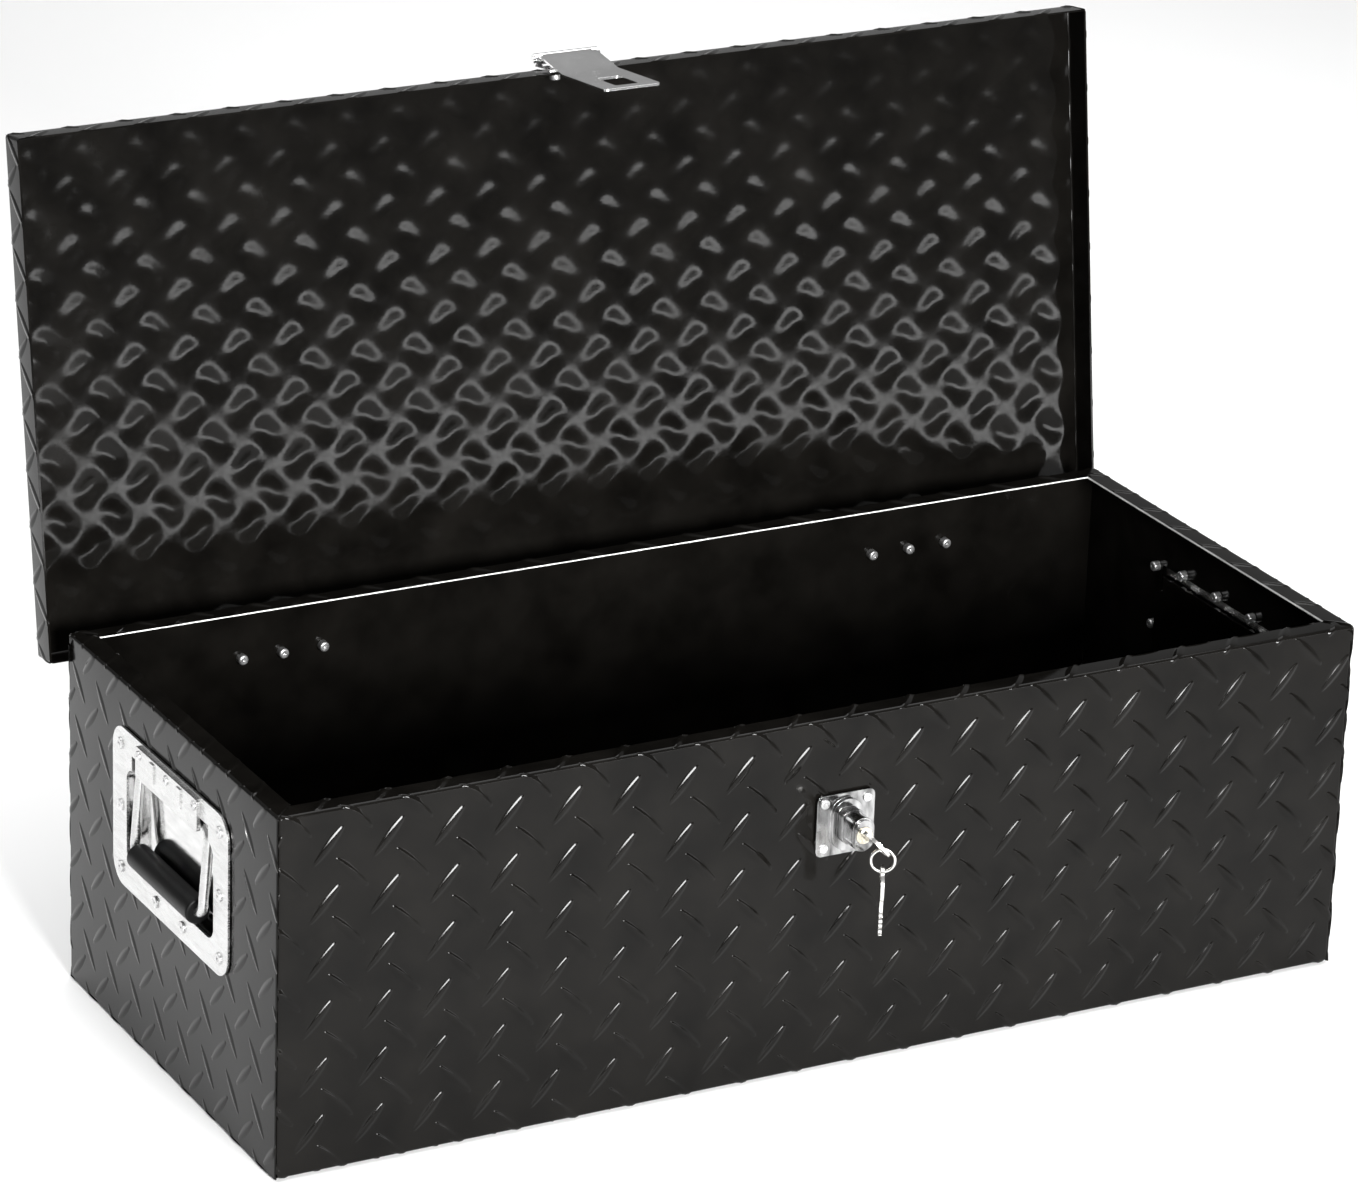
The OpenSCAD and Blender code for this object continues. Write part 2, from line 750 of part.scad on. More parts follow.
module key_ring() color([0.8, 0.8, 0.8]) at_ring()
    translate([0, 0, -ring_d / 2]) rotate([90, 0, 0]) rotate_extrude()
        translate([ring_d / 2, 0]) circle(ring_wire_r, $fn = 24);

module spare_key() color([0.82, 0.82, 0.8]) at_ring()
    translate([-key_t / 2, 0, -ring_d - (key_hole_r - ring_wire_r - ring_slack) - spare_hole_out])
        rotate([0, 90, 0]) rotate([0, 0, 180])
            linear_extrude(key_t) key_outline(spare_hole_out, 0);

body_wrap();
end_panel_left();
end_panel_right();
lid_shell();
hinge_left_body_leaf();
hinge_left_lid_leaf();
hinge_left_pin();
hinge_right_body_leaf();
hinge_right_lid_leaf();
hinge_right_pin();
hinge_body_rivets();
hinge_lid_rivets();
handle_left_plate();
handle_left_bracket();
handle_left_bail();
handle_left_grip();
handle_left_rivets();
handle_right_plate();
handle_right_bracket();
handle_right_bail();
handle_right_grip();
handle_right_rivets();
hasp_fixed_leaf();
hasp_swing_leaf();
hasp_pin();
hasp_rivets();
lock_base();
lock_head();
lock_plug();
lock_retainer();
lock_rivets();
key();
key_ring();
spare_key();
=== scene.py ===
"""Looks of the tread-plate tool box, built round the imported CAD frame.

Blender works in metres. The folded sheets are worked out in millimetres, and each mesh is scaled once made.
"""

import json
import math

import bpy
import numpy as np
from mathutils import Matrix, Vector


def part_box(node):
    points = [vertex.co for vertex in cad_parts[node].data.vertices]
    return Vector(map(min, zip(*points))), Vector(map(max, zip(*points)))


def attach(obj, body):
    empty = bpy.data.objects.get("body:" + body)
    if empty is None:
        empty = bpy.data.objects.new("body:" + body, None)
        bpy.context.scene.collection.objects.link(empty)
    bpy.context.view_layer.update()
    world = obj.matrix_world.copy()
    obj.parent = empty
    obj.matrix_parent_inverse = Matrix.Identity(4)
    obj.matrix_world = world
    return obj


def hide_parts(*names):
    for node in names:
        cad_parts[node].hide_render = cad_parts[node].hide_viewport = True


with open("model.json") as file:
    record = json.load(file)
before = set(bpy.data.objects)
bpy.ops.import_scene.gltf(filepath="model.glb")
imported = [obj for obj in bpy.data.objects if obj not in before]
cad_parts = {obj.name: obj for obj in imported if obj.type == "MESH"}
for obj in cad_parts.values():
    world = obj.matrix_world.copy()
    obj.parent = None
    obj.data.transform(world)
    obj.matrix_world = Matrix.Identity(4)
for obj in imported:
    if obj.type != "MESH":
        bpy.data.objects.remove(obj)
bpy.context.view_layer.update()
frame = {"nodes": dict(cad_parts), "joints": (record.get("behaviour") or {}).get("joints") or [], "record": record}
MM = 0.001

# ---------- sizes in millimetres, from the frame where it has them ----------


def box_mm(node):
    low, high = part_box(node)
    return np.array(low) / MM, np.array(high) / MM


HALF_W, HALF_D, BODY_H = box_mm("body_wrap")[1]
GAUGE = 2.0  # the sheet with its bars
BAR_H = 1.1  # how proud the bars stand on the body's wrap
LID_BAR_H = 0.8  # on the lid
SIDE_BAR_H = 0.6  # on the end panels and the lid's side skirts
BEND_R = 3.0
CORNER_R = 2.4  # rounding of the upright corners
FLANGE_W = 15.0
END_FOOT = 0.9  # height of an end panel's lower edge

lid_joint = next(j for j in frame["joints"] if j["name"] == "lid_hinge")
HINGE_Y, HINGE_Z = np.array(lid_joint["pos_m"][1:]) / MM
LID_OPEN = math.radians(lid_joint["range_deg"][1])


def turn_lid(points, angle):
    """Turns points about the lid hinge's axis."""
    y, z = points[:, 1] - HINGE_Y, points[:, 2] - HINGE_Z
    c, s = math.cos(angle), math.sin(angle)
    return np.column_stack([points[:, 0], HINGE_Y + y * c - z * s, HINGE_Z + y * s + z * c])


def points_mm(node):
    return np.array([v.co for v in frame["nodes"][node].data.vertices], float) / MM


shut = turn_lid(points_mm("lid_shell"), LID_OPEN)
LID_W, LID_D, LID_TOP = shut.max(0)
LID_RIM = shut[:, 2].min()

# ---------- a folded sheet ----------


def bent_line(corners, radius=BEND_R, arc_steps=8):
    """A folded profile with rounded corners: arc lengths, points, and normals to the right of travel."""
    corners = [np.array(c, float) for c in corners]
    points, normals = [], []
    for i, corner in enumerate(corners):
        if i:
            before = (corner - corners[i - 1]) / np.linalg.norm(corner - corners[i - 1])
        if i + 1 < len(corners):
            after = (corners[i + 1] - corner) / np.linalg.norm(corners[i + 1] - corner)
        if i == 0 or i + 1 == len(corners):
            way = after if i == 0 else before
            points.append(corner)
            normals.append(np.array([way[1], -way[0]]))
            continue
        n0, n1 = np.array([before[1], -before[0]]), np.array([after[1], -after[0]])
        centre = corner - radius * before - radius * n0
        for k in range(arc_steps + 1):
            a = math.pi / 2 * k / arc_steps
            n = n0 * math.cos(a) + n1 * math.sin(a)
            points.append(centre + radius * n)
            normals.append(n)
    points, normals = np.array(points), np.array(normals)
    lengths = np.concatenate([[0], np.cumsum(np.linalg.norm(np.diff(points, axis=0), axis=1))])
    return lengths, points, normals


class Sheet:
    """A folded sheet: its profile, and how far it runs to each side of the middle at each place.

    A place on it is (a, s): a across it from its middle, s along its profile. Its upright walls stand at
    wall from the middle and reach side_wall to each side. Where the profile leaves them the sheet narrows
    in a mitre, by at most cap_high above mid_z and cap_low below it.
    """

    def __init__(self, corners, across, wall, side_wall, cap_high, cap_low, mid_z,
                 mirror=1, relief=BAR_H):
        self.s, self.p, self.n = bent_line(corners)
        self.across = across  # 0: the profile is (y, z) and the sheet runs along x; 1: (x, z) and along y
        self.wall, self.side_wall = wall, side_wall
        self.cap_high, self.cap_low, self.mid_z = cap_high, cap_low, mid_z
        self.mirror = mirror
        self.relief = relief  # how proud its bars stand

    @property
    def length(self):
        return self.s[-1]

    def along(self, s):
        p = np.column_stack([np.interp(s, self.s, self.p[:, k]) for k in (0, 1)])
        n = np.column_stack([np.interp(s, self.s, self.n[:, k]) for k in (0, 1)])
        return p, n / np.linalg.norm(n, axis=1)[:, None]

    def half(self, s, depth):
        """Half the sheet's width at s, on the surface at that depth, cut to a mitre at its corners."""
        p, n = self.along(s)
        q = p - n * np.reshape(depth, (-1, 1))
        cap = np.where(q[:, 1] > self.mid_z, self.cap_high, self.cap_low)
        inset = np.clip(self.wall - np.abs(q[:, 0]), 0, cap)
        return self.side_wall - inset

    def place(self, a, s, depth, rounding=CORNER_R):
        """Points in the row frame, in millimetres, of places (a, s) at that depth below the bars' tops."""
        s = np.clip(s, 0, self.length)
        depth = np.broadcast_to(np.asarray(depth, float), s.shape)
        p, n = self.along(s)
        half = self.half(s, depth)
        a = np.clip(a, -half, half)
        if rounding:
            upright = np.abs(n[:, 0])
            c = np.clip((np.abs(a) - half + rounding) / rounding, 0, 1)
            angle = c * math.pi / 4
            depth = depth + upright * rounding * (1 - np.cos(angle))
            eased = half - rounding + rounding * (upright * np.sin(angle) + (1 - upright) * c)
            a = np.where(c > 0, np.sign(a) * eased, a)
        q = p - n * depth[:, None]
        columns = [a, q[:, 0], q[:, 1]] if self.across == 0 else [q[:, 0] * self.mirror, a, q[:, 1]]
        return np.column_stack(columns)


BARE_INDEX = 1  # a sheet's second material slot


class Build:
    """Collects the vertices and faces of one mesh."""

    def __init__(self, flip=False):
        self.vertices, self.faces, self.count, self.flip = [], [], 0, flip
        self.bare = []  # ranges of faces that show bare metal

    def add(self, points, faces, bare=False):
        if bare:
            self.bare.append((len(self.faces), len(self.faces) + len(faces)))
        self.vertices.append(points)
        turned = np.flip(faces, 1) if self.flip else faces
        self.faces += (turned + self.count).tolist()
        self.count += len(points)

    def object(self, name, opened=False):
        points = np.concatenate(self.vertices)
        if opened:
            points = turn_lid(points, -LID_OPEN)
        mesh = bpy.data.meshes.new(name)
        mesh.from_pydata((points * MM).tolist(), [], self.faces)
        mesh.shade_smooth()
        for first, last in self.bare:
            for polygon in mesh.polygons[first:last]:
                polygon.material_index = BARE_INDEX
        made = bpy.data.objects.new(name, mesh)
        bpy.context.scene.collection.objects.link(made)
        return made


def grid_faces(rows, columns, keep=None):
    """The quads of a grid of points, or those that are kept."""
    r, c = np.meshgrid(np.arange(rows - 1), np.arange(columns - 1), indexing="ij")
    first = r * columns + c
    quads = np.stack([first, first + columns, first + columns + 1, first + 1], -1)
    if keep is not None:
        return quads[keep]
    return quads.reshape(-1, 4)


def inside(holes, a, s, grow=0.0):
    """Which places lie in one of the holes (a0, a1, s0, s1), grown by a margin."""
    found = np.zeros(np.broadcast(a, s).shape, bool)
    for a0, a1, s0, s1 in holes:
        found |= (a > a0 - grow) & (a < a1 + grow) & (s > s0 - grow) & (s < s1 + grow)
    return found


def lines(low, high, step, extra):
    """Evenly spaced grid lines, with the extra ones that lie between them."""
    count = max(1, round((high - low) / step))
    made = np.concatenate([np.linspace(low, high, count + 1), [e for e in extra if low < e < high]])
    return np.unique(np.round(made, 4))


def middles(grid):
    return (grid[:-1, :-1] + grid[1:, 1:]) / 2


CORNER_LINES = 6  # grid lines over a rounded side
PLAIN_LINES = (-100.0, 0.0, 100.0)  # grid lines across the flat middle
SIDE_MARGIN = 1.0  # least room between them and the rounded side


def add_base(build, sheet, holes):
    """The outer face between the bars. Its columns round off towards the sheet's sides."""
    edge_lines = [v for h in holes for v in h[2:] if 0 < v < sheet.length]
    rows = np.unique(np.round(np.concatenate([sheet.s, edge_lines]), 4))
    least = sheet.half(rows, sheet.relief).min() - CORNER_R - SIDE_MARGIN
    inner = sorted(v for v in {*PLAIN_LINES, *(v for h in holes for v in h[:2])} if abs(v) < least)
    shares = np.linspace(0, 1, CORNER_LINES)
    half = sheet.half(rows, sheet.relief)
    left = [-(half - CORNER_R * (1 - c)) for c in shares[::-1]]
    right = [half - CORNER_R * (1 - c) for c in shares]
    a = np.stack([*left, *[np.full(len(rows), v) for v in inner], *right], 1)
    s = np.repeat(rows[:, None], a.shape[1], 1)
    keep = ~inside(holes, middles(a), middles(s))
    build.add(sheet.place(a.ravel(), s.ravel(), sheet.relief), grid_faces(*a.shape, keep))


HOLE_EASE = 1.5  # the inner face stops this far outside a hole


def add_inside(build, sheet, step, dents, holes):
    """The inner face, with a soft dent behind each bar."""
    rows = lines(0, sheet.length, step, sheet.s)
    half = sheet.half(rows, GAUGE)
    share = np.linspace(-1, 1, max(3, round(2 * half.max() / step)) + 1)
    a = half[:, None] * share[None, :]
    s = np.repeat(rows[:, None], len(share), 1)
    depth = GAUGE - dents(a, s)
    keep = ~inside(holes, middles(a), middles(s), HOLE_EASE)
    points = sheet.place(a.ravel(), s.ravel(), depth.ravel(), rounding=0)
    build.add(points, np.flip(grid_faces(*a.shape, keep), 1))


START, FINISH = 0, 1  # the two ends of a sheet's profile
EDGE_POINTS = 41  # along a cut edge


def add_edges(build, sheet, bare):
    """The sheet's cut edges, between its two faces. The ends listed in bare show bare metal."""
    def add_strip(share, s, turned, shows_metal=False):
        points = [sheet.place(share * sheet.half(s, depth), s, depth, rounding)
                  for depth, rounding in ((sheet.relief, CORNER_R), (GAUGE, 0))]
        faces = grid_faces(2, len(s))
        build.add(np.concatenate(points), np.flip(faces, 1) if turned else faces, shows_metal)

    for end, s in ((START, 0.0), (FINISH, sheet.length)):
        add_strip(np.linspace(-1, 1, EDGE_POINTS), np.full(EDGE_POINTS, s), end == START, end in bare)
    for side in (-1, 1):
        add_strip(side, sheet.s, side > 0)


# ---------- the tread pattern ----------

PITCH = np.array([[38.9, -0.4], [-2.1, -36.8]])  # the lattice's two steps on the body's wrap
END_PITCH = np.array([[36.4, 0.0], [-2.9, -35.2]])  # on the end panels
LID_PITCH = np.array([[35.8, 0.0], [0.8, 37.6]])  # on the lid
BAR_LEN, BAR_R = 30.0, 3.9  # a bar's length and half its width
BAR_POINT = 0.62  # how much narrower and lower a bar gets towards its tips
BAR_TIP = 0.93  # where its rounded tips begin, as a share of its half length
SLASH, BACKSLASH = math.radians(49), math.radians(-45)  # how the two families of bars lean
LID_SLASH = math.radians(45)
BAR_SUNK = 0.06  # a bar's rim lies this far under the face between the bars
BAR_SHY = 0.02  # and its crown this far under the sheet's outer face
BAR_CLEAR = 11.0  # least room between a hole and a bar's middle
DENT_LEN, DENT_R, DENT_DEPTH = 10.5, 7.0, 0.68  # the dent pressed behind each bar


class Tread:
    """Two families of raised bars on one lattice, at (a, w) on the sheet, where w is w0 - s."""

    def __init__(self, pitch, slash_at, backslash_at, w0, slash=SLASH):
        self.pitch, self.w0 = pitch, w0
        self.families = ((np.array(slash_at), slash), (np.array(backslash_at), BACKSLASH))

    def bars(self, sheet):
        """Middle and angle of every bar that touches the sheet."""
        reach = BAR_LEN / 2
        widest = sheet.half(sheet.s, 0).max()
        for origin, angle in self.families:
            span = int((sheet.length + 4 * widest) / self.pitch[0, 0]) + 2
            for i in range(-span, span + 1):
                for j in range(-span, span + 1):
                    a, w = origin + i * self.pitch[0] + j * self.pitch[1]
                    s = self.w0 - w
                    if -reach < s < sheet.length + reach and abs(a) < widest + reach:
                        yield a, s, angle

    def dents(self, a, s):
        """How far the inner face is pressed towards the outer one."""
        total = np.zeros(np.shape(a))
        back = np.linalg.inv(self.pitch)
        for origin, angle in self.families:
            rel = np.stack([a - origin[0], self.w0 - s - origin[1]], -1)
            cell = rel @ back
            for di in (0, 1):
                for dj in (0, 1):
                    near = rel - (np.floor(cell) + [di, dj]) @ self.pitch
                    u = near[..., 0] * math.cos(angle) + near[..., 1] * math.sin(angle)
                    v = -near[..., 0] * math.sin(angle) + near[..., 1] * math.cos(angle)
                    total += DENT_DEPTH * np.exp(-((np.abs(u) / DENT_LEN) ** 3) - (v / DENT_R) ** 2)
        return total


def bar_shape(along, across):
    """A bar with a rounded crown, tapering to both ends: offsets along and across it, height and faces."""
    t = np.sin(np.linspace(-1, 1, along + 1) * math.pi / 2)
    c = np.linspace(-1, 1, across + 1)
    lens = 1 - BAR_POINT * t ** 2
    over = np.clip((np.abs(t) - BAR_TIP) / (1 - BAR_TIP), 0, 1)
    half_width = BAR_R * lens * np.sqrt(1 - over ** 2)
    crown = lens * (0.5 + 0.5 * np.cos(math.pi * over))
    u = np.repeat(BAR_LEN / 2 * t[:, None], len(c), 1)
    v = half_width[:, None] * c[None, :]
    h = crown[:, None] * (0.5 + 0.5 * np.cos(math.pi * c))[None, :]
    return u.ravel(), v.ravel(), h.ravel(), grid_faces(len(t), len(c))


def add_bars(build, sheet, tread, along, across, holes):
    """The raised bars, each one laid over the sheet's folds on its own."""
    u, v, h, faces = bar_shape(along, across)
    depth = sheet.relief + BAR_SUNK - h * (sheet.relief + BAR_SUNK - BAR_SHY)
    for a, s, angle in tread.bars(sheet):
        bar_a = a + u * math.cos(angle) - v * math.sin(angle)
        bar_s = s - (u * math.sin(angle) + v * math.cos(angle))
        off_sheet = bar_s.max() < 0 or bar_s.min() > sheet.length
        if not off_sheet and not inside(holes, a, s, BAR_CLEAR):
            build.add(sheet.place(bar_a, bar_s, depth), np.flip(faces, 1))


# ---------- materials ----------


def node(tree, kind, **sockets):
    """A shader node with the named sockets set."""
    made = tree.nodes.new(kind)
    for name, value in sockets.items():
        made.inputs[name.replace("_", " ")].default_value = value
    return made


def maths(tree, operation, *terms):
    """The result of a maths node on sockets and numbers."""
    made = tree.nodes.new("ShaderNodeMath")
    made.operation = operation
    for socket, term in zip(made.inputs, terms):
        if isinstance(term, float):
            socket.default_value = term
        else:
            tree.links.new(term, socket)
    return made.outputs[0]


NOISE_LOW, NOISE_HIGH = 0.3, 0.7  # the part of a noise's range that is used
GRAIN_HEIGHT = 0.0004
SMOOTHEST = 0.02
POLISHED_SHARE, POLISHED_BLEND = 0.25, 0.001  # a polished part's roughness, and where it changes over


def finish(name, colour, roughness, metallic=0.0, spread=0.08, tint=0.12, blotch=30.0, grain=900.0,
           bump=0.03, stretch=(1, 1, 1), edge=0.0, ior=1.5, polished_within=None):
    """A painted, plated or moulded surface: cloudy colour and gloss, a fine grain and softened edges.

    Nearer the middle than polished_within, along x, the surface is smoother.
    """
    material = bpy.data.materials.new(name)
    material.use_nodes = True
    tree = material.node_tree
    shader = tree.nodes["Principled BSDF"]
    shader.inputs["Metallic"].default_value = metallic
    shader.inputs["IOR"].default_value = ior
    where = tree.nodes.new("ShaderNodeTexCoord")
    mapping = node(tree, "ShaderNodeMapping", Scale=stretch)
    tree.links.new(where.outputs["Object"], mapping.inputs["Vector"])
    clouds = node(tree, "ShaderNodeTexNoise", Scale=blotch, Detail=4.0)
    fine = node(tree, "ShaderNodeTexNoise", Scale=grain, Detail=2.0)
    for noise in (clouds, fine):
        tree.links.new(mapping.outputs["Vector"], noise.inputs["Vector"])

    ramp = tree.nodes.new("ShaderNodeValToRGB")
    ends = ((NOISE_LOW, 1 - tint), (NOISE_HIGH, 1 + tint))
    for element, (position, factor) in zip(ramp.color_ramp.elements, ends):
        element.position = position
        element.color = (*[min(1.0, c * factor) for c in colour], 1)
    tree.links.new(clouds.outputs["Fac"], ramp.inputs["Fac"])
    tree.links.new(ramp.outputs["Color"], shader.inputs["Base Color"])

    average = maths(tree, "MULTIPLY_ADD", fine.outputs["Fac"], 0.5,
                    maths(tree, "MULTIPLY", clouds.outputs["Fac"], 0.5))
    gloss = node(tree, "ShaderNodeMapRange", From_Min=NOISE_LOW, From_Max=NOISE_HIGH,
                 To_Min=max(SMOOTHEST, roughness - spread), To_Max=roughness + spread)
    tree.links.new(average, gloss.inputs["Value"])
    worn = gloss.outputs["Result"]
    if polished_within is not None:
        parts = tree.nodes.new("ShaderNodeSeparateXYZ")
        tree.links.new(where.outputs["Object"], parts.inputs[0])
        share = node(tree, "ShaderNodeMapRange", From_Min=polished_within,
                     From_Max=polished_within + POLISHED_BLEND, To_Min=POLISHED_SHARE, To_Max=1.0)
        tree.links.new(maths(tree, "ABSOLUTE", parts.outputs["X"]), share.inputs["Value"])
        worn = maths(tree, "MULTIPLY", share.outputs["Result"], worn)
    tree.links.new(worn, shader.inputs["Roughness"])

    relief = node(tree, "ShaderNodeBump", Strength=bump, Distance=GRAIN_HEIGHT)
    tree.links.new(fine.outputs["Fac"], relief.inputs["Height"])
    if edge:
        bevel = node(tree, "ShaderNodeBevel", Radius=edge)
        bevel.samples = 4
        tree.links.new(bevel.outputs["Normal"], relief.inputs["Normal"])
    tree.links.new(relief.outputs["Normal"], shader.inputs["Normal"])
    return material


def grey(value):
    return (value, value, value)


MATERIALS = {
    "tread_sheet": finish("gloss_black_paint", (0.0032, 0.0029, 0.0025), 0.1, spread=0.04, tint=0.4,
                          grain=350.0, ior=1.24),
    "hinge_steel": finish("zinc_plate", (0.62, 0.62, 0.6), 0.32, 1.0, stretch=(1, 4, 4), edge=0.0004),
    "rivet_alloy": finish("rivet_alloy", grey(0.62), 0.3, 0.9, tint=0.25, blotch=300.0, edge=0.0002),
    "handle_plating": finish("bright_zinc", (0.6, 0.6, 0.597), 0.27, 1.0, spread=0.1, stretch=(1, 1, 5),
                             blotch=60.0, edge=0.0004, polished_within=(HALF_W - 1.0) * MM),
    "grip_rubber": finish("grip_rubber", grey(0.004), 0.4, tint=0.3, grain=1500.0, bump=0.2, ior=1.25),
    "hasp_chrome": finish("hasp_chrome", grey(0.95), 0.13, 1.0, spread=0.05, edge=0.0004),
    "lock_chrome": finish("lock_chrome", grey(0.36), 0.14, 1.0, tint=0.7, blotch=160.0,
                          stretch=(1, 1, 0.3), edge=0.0005),
    "plug_brass": finish("plug_brass", (0.75, 0.7, 0.58), 0.25, 1.0, edge=0.0002),
    "key_nickel": finish("key_nickel", (0.78, 0.77, 0.75), 0.2, 1.0, stretch=(1, 1, 3), edge=0.0003),
}
BARE_EDGE = finish("bare_edge", (0.8, 0.8, 0.79), 0.5, 0.4, tint=0.2, blotch=80.0)

# ---------- the sheet pieces ----------


def add_sheet(build, sheet, tread, step, bar_steps, holes=(), bare=()):
    """A whole sheet. step is the inner face's grid, bar_steps a bar's grid along and across."""
    add_base(build, sheet, holes)
    add_inside(build, sheet, step, tread.dents, holes)
    add_edges(build, sheet, bare)
    add_bars(build, sheet, tread, *bar_steps, holes)


def finish_piece(build, name, cad_node, body, opened=False):
    piece = build.object(name, opened)
    piece.data.materials.append(MATERIALS["tread_sheet"])
    piece.data.materials.append(BARE_EDGE)
    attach(piece, body)
    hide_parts(cad_node)


BODY_STEP, LID_STEP, SKIRT_STEP = 4.0, 2.4, 3.0  # grids of the inner faces
BODY_BAR, LID_BAR = (16, 8), (14, 8)  # a bar's steps along and across
FOLD_CUT = BEND_R * (math.pi / 2 - 2)  # the way over a fold, less its two legs up to the sharp corner
FRONT_W0 = FLANGE_W + BODY_H + FOLD_CUT - BEND_R  # w is then the height less BEND_R, on front and ends


def body_wrap():
    """Front rim, front, bottom, back and back rim."""
    folds = [(FLANGE_W - HALF_D, BODY_H), (-HALF_D, BODY_H), (-HALF_D, 0),
             (HALF_D, 0), (HALF_D, BODY_H), (HALF_D - FLANGE_W, BODY_H)]
    sheet = Sheet(folds, across=0, wall=HALF_D, side_wall=HALF_W, cap_high=FLANGE_W, cap_low=GAUGE,
                  mid_z=BODY_H / 2)
    tread = Tread(PITCH, slash_at=(-2.4, -16.6), backslash_at=(13.0, -35.8), w0=FRONT_W0)
    build = Build()
    add_sheet(build, sheet, tread, BODY_STEP, BODY_BAR, bare=(START, FINISH))
    finish_piece(build, "tread_wrap", "body_wrap", "root")


DISH_EASE = 0.3  # the hole is this much smaller than the dish, on each side


def end_panel(name, side):
    """An end's rim and wall, with the hole for the handle's dish, which stands BEND_R above the dish."""
    folds = [(FLANGE_W - HALF_W, BODY_H), (-HALF_W, BODY_H), (-HALF_W, END_FOOT)]
    sheet = Sheet(folds, across=1, wall=HALF_W, side_wall=HALF_D, cap_high=FLANGE_W, cap_low=GAUGE,
                  mid_z=BODY_H / 2, mirror=side, relief=SIDE_BAR_H)
    tread = Tread(END_PITCH, slash_at=(-6.0, 204.25), backslash_at=(10.5, 187.5), w0=FRONT_W0)
    plate = points_mm(f"handle_{name}_plate")
    dish = plate[np.abs(plate[:, 0]) < HALF_W - GAUGE]
    y0, z0 = dish.min(0)[1:] + DISH_EASE
    y1, z1 = dish.max(0)[1:] - DISH_EASE
    build = Build(flip=side > 0)
    hole = (y0, y1, FRONT_W0 - z1, FRONT_W0 - z0)
    add_sheet(build, sheet, tread, BODY_STEP, BODY_BAR, holes=[hole], bare=(START,))
    finish_piece(build, f"tread_end_{name}", f"end_panel_{name}", "root")


NOTCH_EASE, NOTCH_TOP = 2.0, 1.5  # room round a hinge's leaf, and how deep its notch is
OFF_EDGE = -1.0  # a place just off the start of a sheet


def lid():
    """The lid's top with its front and back skirts, then its side skirts. It is made shut."""
    folds = [(LID_D, LID_RIM), (LID_D, LID_TOP), (-LID_D, LID_TOP), (-LID_D, LID_RIM)]
    sheet = Sheet(folds, across=0, wall=LID_D, side_wall=LID_W, cap_high=BEND_R, cap_low=BEND_R,
                  mid_z=LID_RIM, relief=LID_BAR_H)
    panel_w0 = LID_TOP - LID_RIM + LID_D + FOLD_CUT - BEND_R  # w is then y less BEND_R, on the top
    tread = Tread(LID_PITCH, slash_at=(33.8, 41.5), backslash_at=(17.7, 22.5), w0=panel_w0, slash=LID_SLASH)
    notches = []
    for name in ("left", "right"):
        low, high = box_mm(f"hinge_{name}_body_leaf")
        notches.append((low[0] - NOTCH_EASE, high[0] + NOTCH_EASE, OFF_EDGE, NOTCH_TOP))
    build = Build()
    add_sheet(build, sheet, tread, LID_STEP, LID_BAR, holes=notches)

    side_folds = [(BEND_R - LID_W, LID_TOP), (-LID_W, LID_TOP), (-LID_W, LID_RIM)]
    side_tread = Tread(LID_PITCH, slash_at=(5.0, LID_TOP - 8.0), backslash_at=(22.9, LID_TOP - 16.0),
                       w0=LID_TOP)
    for side in (1, -1):
        skirt = Sheet(side_folds, across=1, wall=LID_W, side_wall=LID_D, cap_high=BEND_R, cap_low=BEND_R,
                      mid_z=LID_RIM, mirror=side, relief=SIDE_BAR_H)
        build.flip = side > 0
        add_sheet(build, skirt, side_tread, SKIRT_STEP, LID_BAR)
    finish_piece(build, "tread_lid", "lid_shell", "lid", opened=True)


body_wrap()
end_panel("left", 1)
end_panel("right", -1)
lid()

# ---------- the CAD nodes that stay ----------

for part in frame["record"]["subparts"]:
    kept = frame["nodes"][part["node"]]
    kept.data.materials.clear()
    kept.data.materials.append(MATERIALS[part["material_slot"]])

# ---------- floor, light and camera ----------


FLOOR_REACH, FLOOR_DROP = 30.0, 0.0005


def floor():
    corners = [(x * FLOOR_REACH, y * FLOOR_REACH, 0) for x, y in ((-1, -1), (1, -1), (1, 1), (-1, 1))]
    mesh = bpy.data.meshes.new("floor")
    mesh.from_pydata(corners, [], [(0, 1, 2, 3)])
    mesh.materials.append(finish("floor", grey(0.9), 0.9, tint=0.01, blotch=2.0, grain=40.0, bump=0.0))
    made = bpy.data.objects.new("floor", mesh)
    made.location.z = -FLOOR_DROP
    bpy.context.scene.collection.objects.link(made)


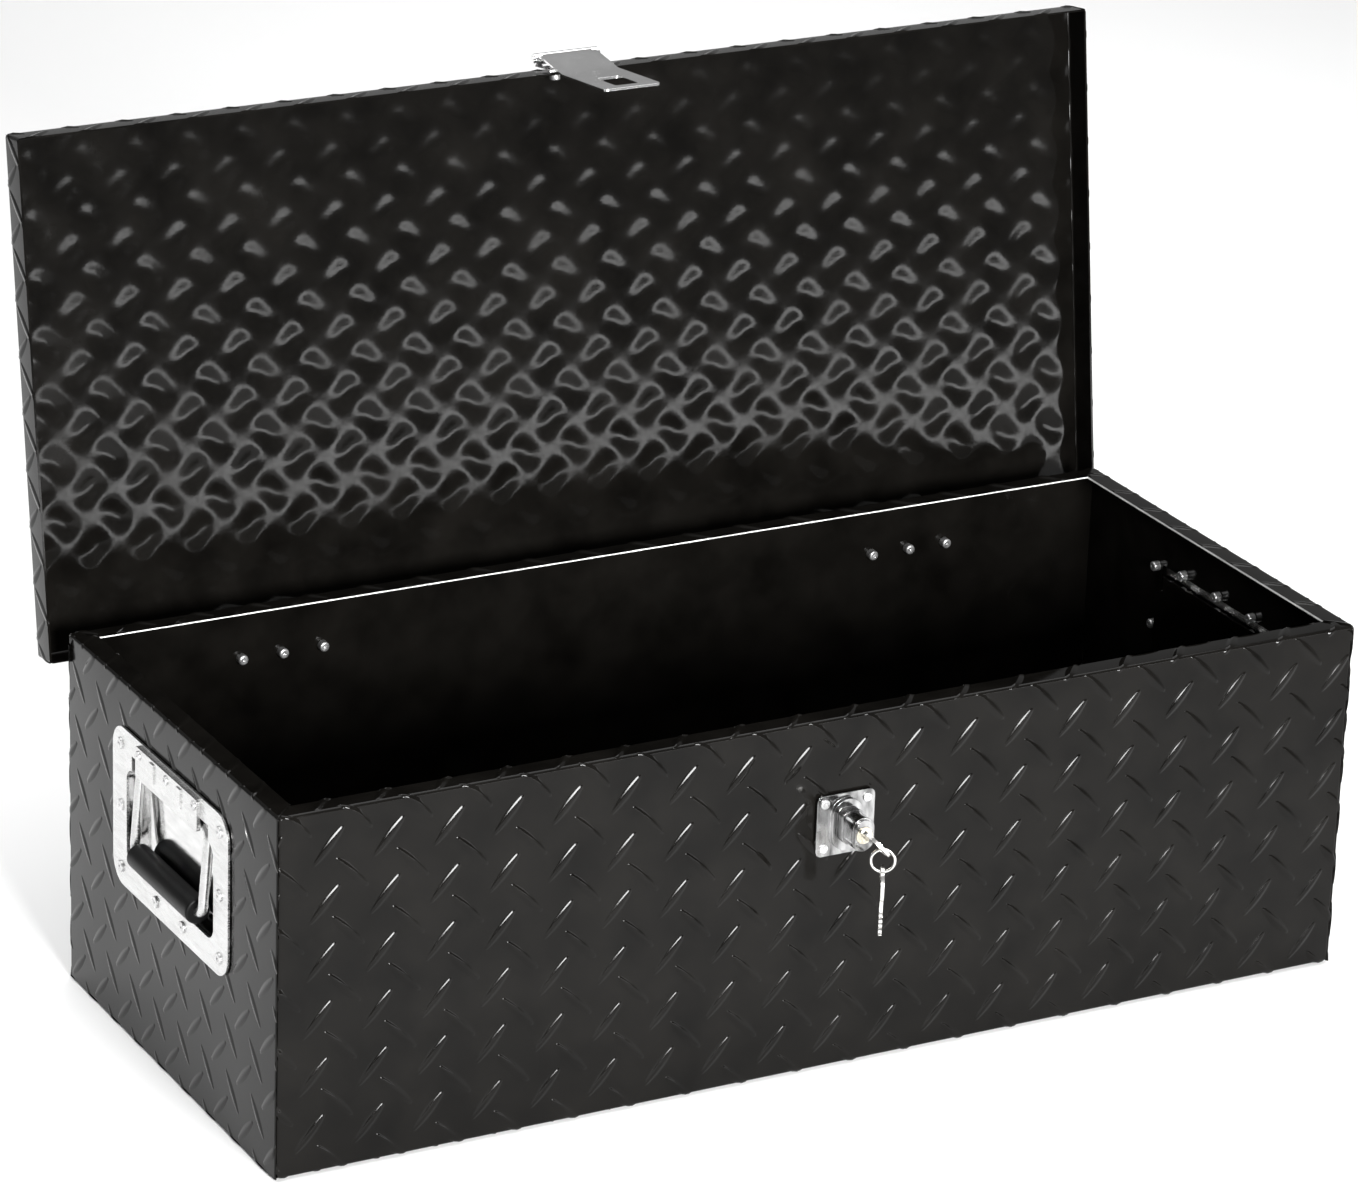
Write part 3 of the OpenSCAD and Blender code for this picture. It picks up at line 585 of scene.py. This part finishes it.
def studio(strength):
    """Even white light from all round."""
    world = bpy.data.worlds.new("studio")
    world.use_nodes = True
    background = world.node_tree.nodes["Background"]
    background.inputs["Color"].default_value = (1, 1, 1, 1)
    background.inputs["Strength"].default_value = strength
    bpy.context.scene.world = world


def softbox(name, at, target, size, power, spread=180):
    data = bpy.data.lights.new(name, "AREA")
    data.shape = "RECTANGLE"
    data.size, data.size_y = size
    data.energy = power
    data.spread = math.radians(spread)
    lamp = bpy.data.objects.new(name, data)
    lamp.location = at
    lamp.rotation_euler = (Vector(target) - Vector(at)).to_track_quat("-Z", "Y").to_euler()
    bpy.context.scene.collection.objects.link(lamp)


CAMERA_AT = Vector((-1.69765, -3.04597, 1.63235))
CAMERA_AZ, CAMERA_EL, CAMERA_ROLL = (math.radians(v) for v in (-28.72, 21.52, 1.916))
LENS, SENSOR = 159.47, 36.0


def camera():
    flat = math.cos(CAMERA_EL)
    back = Vector((math.sin(CAMERA_AZ) * flat, -math.cos(CAMERA_AZ) * flat, math.sin(CAMERA_EL)))
    level = Vector((0, 0, 1)).cross(back).normalized()
    upright = back.cross(level)
    right = level * math.cos(CAMERA_ROLL) + upright * math.sin(CAMERA_ROLL)
    up = upright * math.cos(CAMERA_ROLL) - level * math.sin(CAMERA_ROLL)
    data = bpy.data.cameras.new("camera")
    data.lens, data.sensor_width = LENS, SENSOR
    made = bpy.data.objects.new("camera", data)
    made.matrix_world = Matrix.Translation(CAMERA_AT) @ Matrix((right, up, back)).transposed().to_4x4()
    bpy.context.scene.collection.objects.link(made)
    bpy.context.scene.camera = made


floor()
studio(0.3)
softbox("overhead", (0.0, 0.7, 2.6), (0.0, 0.7, 0.0), (3.6, 3.2), 100)
# The flanks of the front's bars mirror this one in short bright dashes.
softbox("front", (-0.25, -3.6, 1.02), (0.0, 0.0, 0.2), (1.5, 1.1), 36, spread=50)
# The lower half of the lid's inner face mirrors this one, over the box's front rim.
softbox("low_card", (1.02, -1.85, 0.05), (0.0, 0.2, 0.35), (1.3, 0.1), 0.52, spread=60)
bpy.context.scene.view_settings.view_transform = "Standard"
camera()
